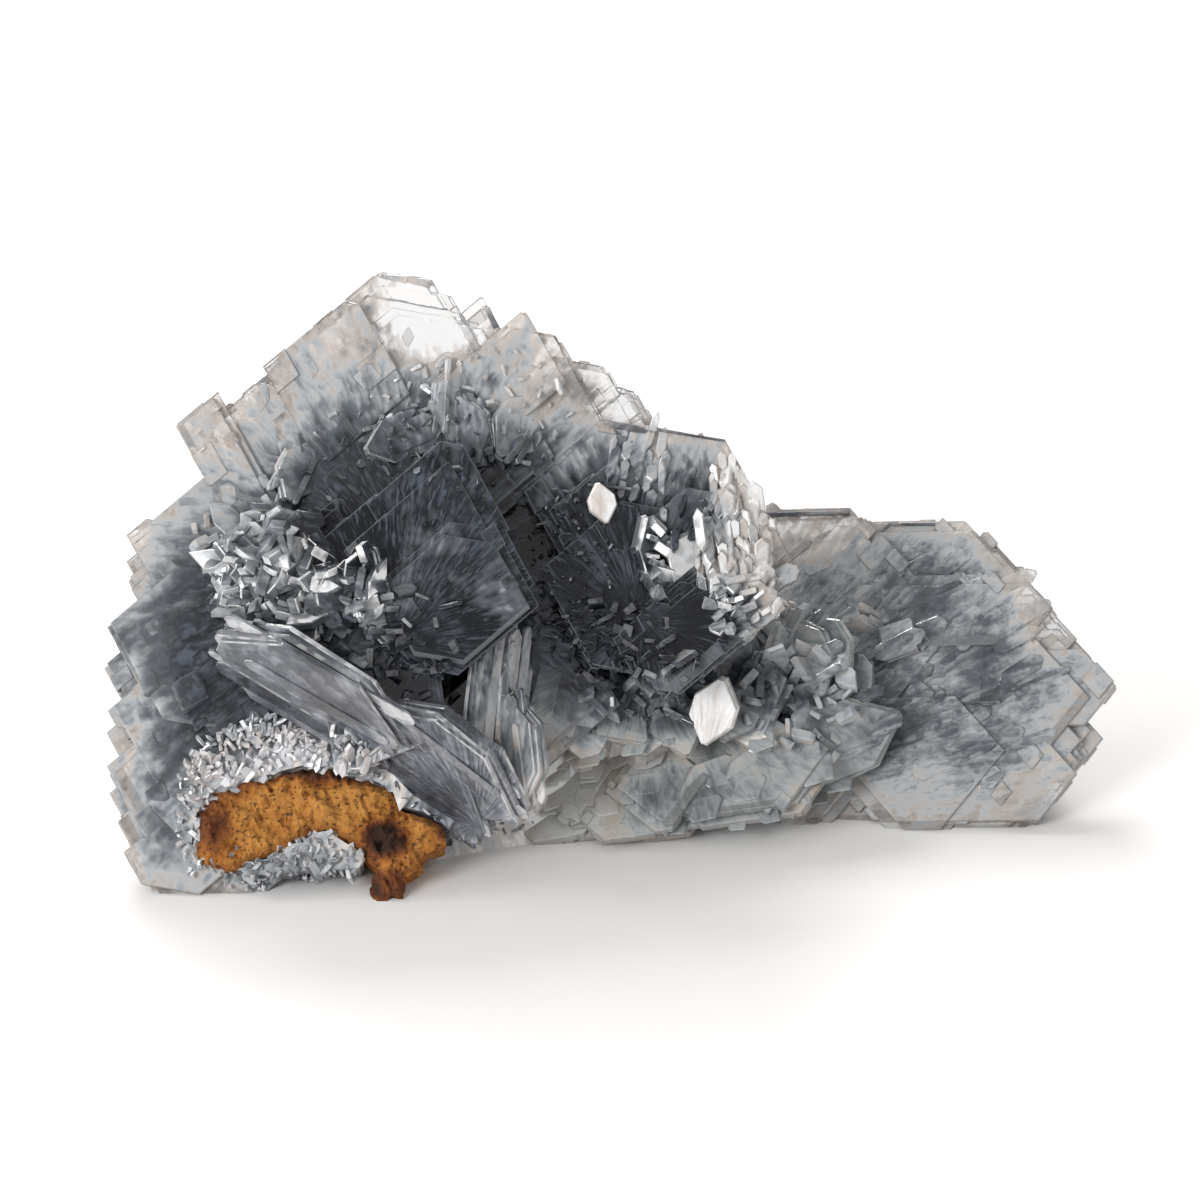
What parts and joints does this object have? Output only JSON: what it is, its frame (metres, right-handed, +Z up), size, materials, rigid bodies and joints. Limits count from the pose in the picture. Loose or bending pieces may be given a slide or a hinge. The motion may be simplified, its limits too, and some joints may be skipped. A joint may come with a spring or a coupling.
{
  "type": "mineral specimen",
  "caption": "Cluster of blue-grey tabular barite blades in leaning fans, with a patch of rusty limonite at its lower left.",
  "frame": {"origin": "middle of the bounding box at the level of the flat break on which the specimen rests", "axes": "+X along the specimen's length, to the right as seen from its display side; +Y from the display side to the back; +Z up"},
  "size_m": [0.1101, 0.0465, 0.0551],
  "materials": {
    "blue_barite": "clear to blue-grey crystal, pale brownish rims, dark smoky hearts",
    "rusty_limonite": "dull ochre to dark brown iron oxide, rough and pitted"
  },
  "bodies": {
    "root": {"barite_crystals": "blue_barite", "limonite_matrix": "rusty_limonite"}
  },
  "joints": []
}
